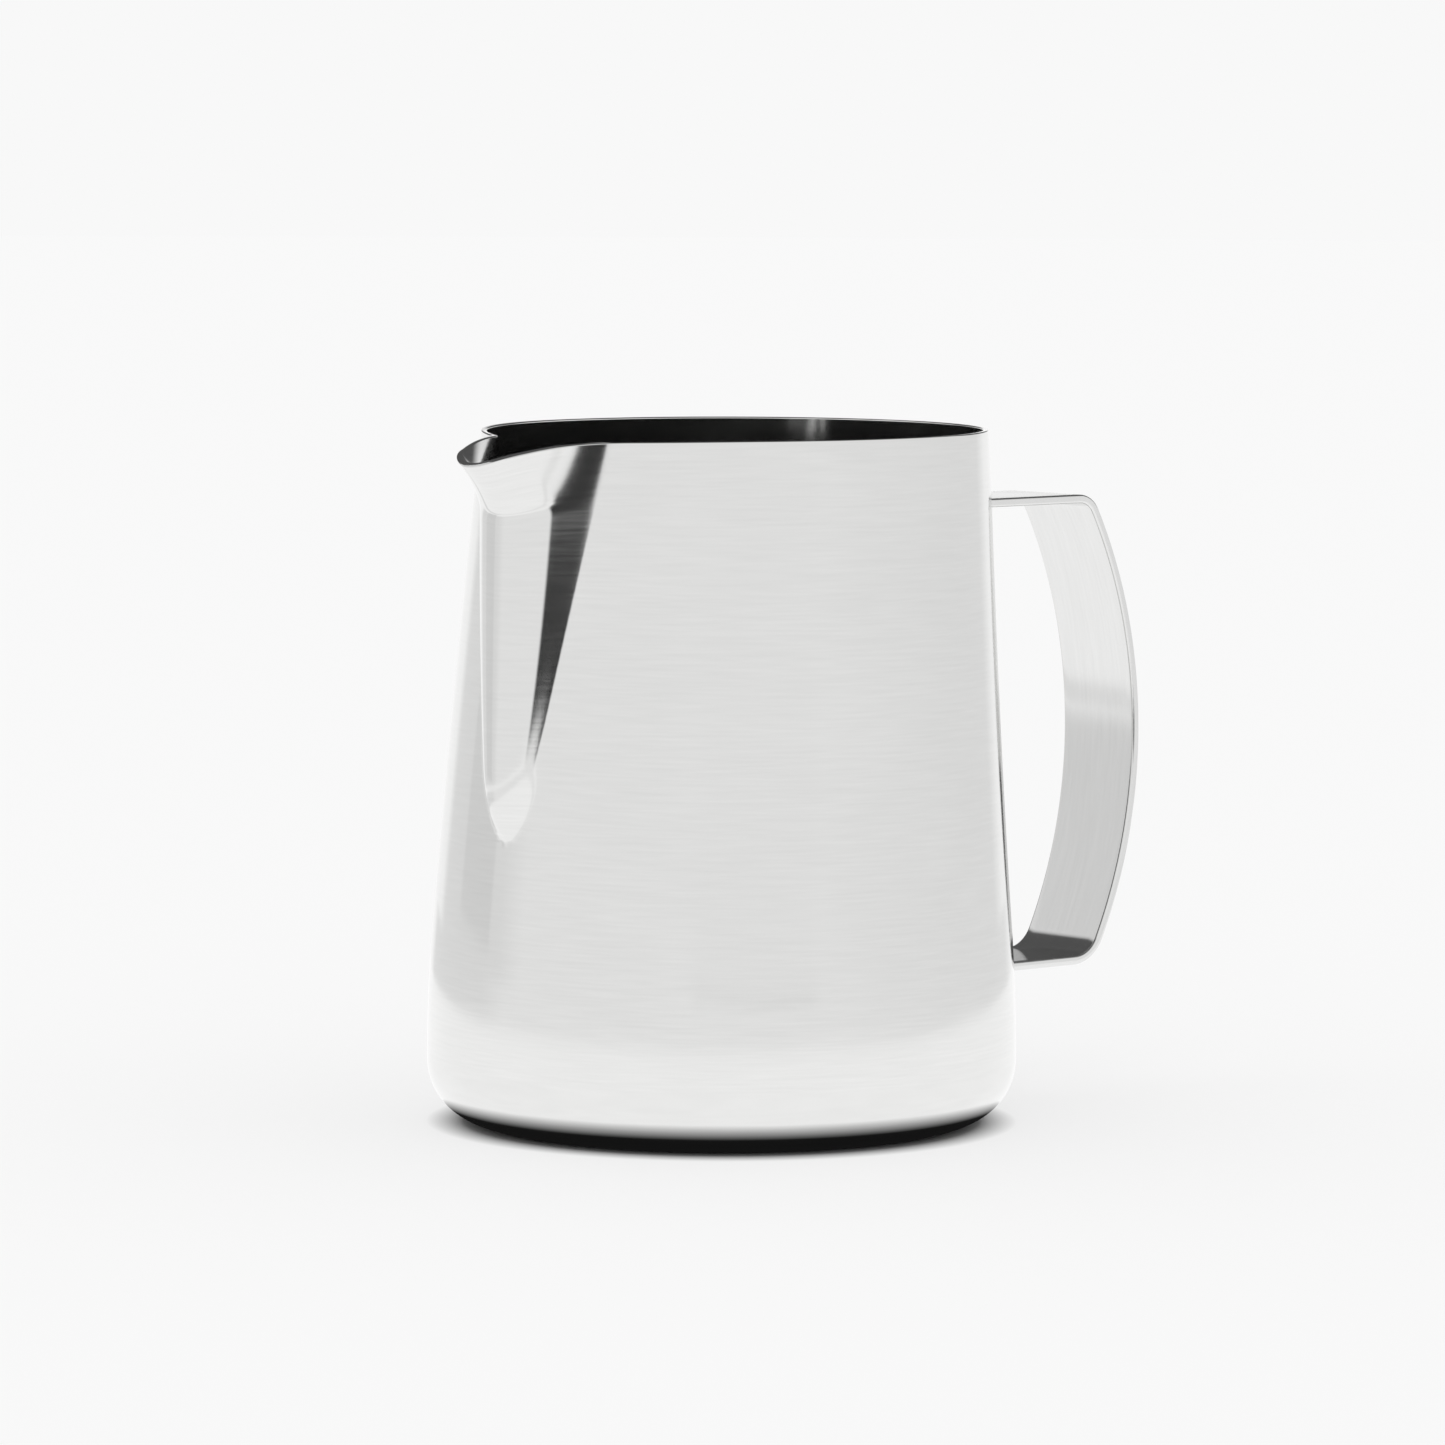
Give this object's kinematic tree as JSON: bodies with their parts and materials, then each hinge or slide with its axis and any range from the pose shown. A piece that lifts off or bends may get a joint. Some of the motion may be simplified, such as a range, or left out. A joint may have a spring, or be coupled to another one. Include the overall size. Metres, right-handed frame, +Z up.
{
  "type": "milk frothing pitcher",
  "caption": "Tapered thin-walled steel cup with a pressed pouring spout and a bent strap handle on two spot-welded tabs.",
  "frame": {"origin": "centre of the cup's flat underside, on the surface it stands on", "axes": "+Z up through the cup, +X towards the handle, -X towards the spout, Y across"},
  "size_m": [0.1343, 0.0926, 0.1089],
  "materials": {
    "cup_steel": "fine satin brushed round the cup, brighter at the rim",
    "handle_steel": "polished strip with a faint grain along its length",
    "weld_steel": "dull round spot weld marks with a faint heat tint"
  },
  "bodies": {
    "root": {"vessel": "cup_steel", "handle_strap": "handle_steel", "upper_spot_welds": "weld_steel", "lower_spot_welds": "weld_steel"}
  },
  "joints": []
}
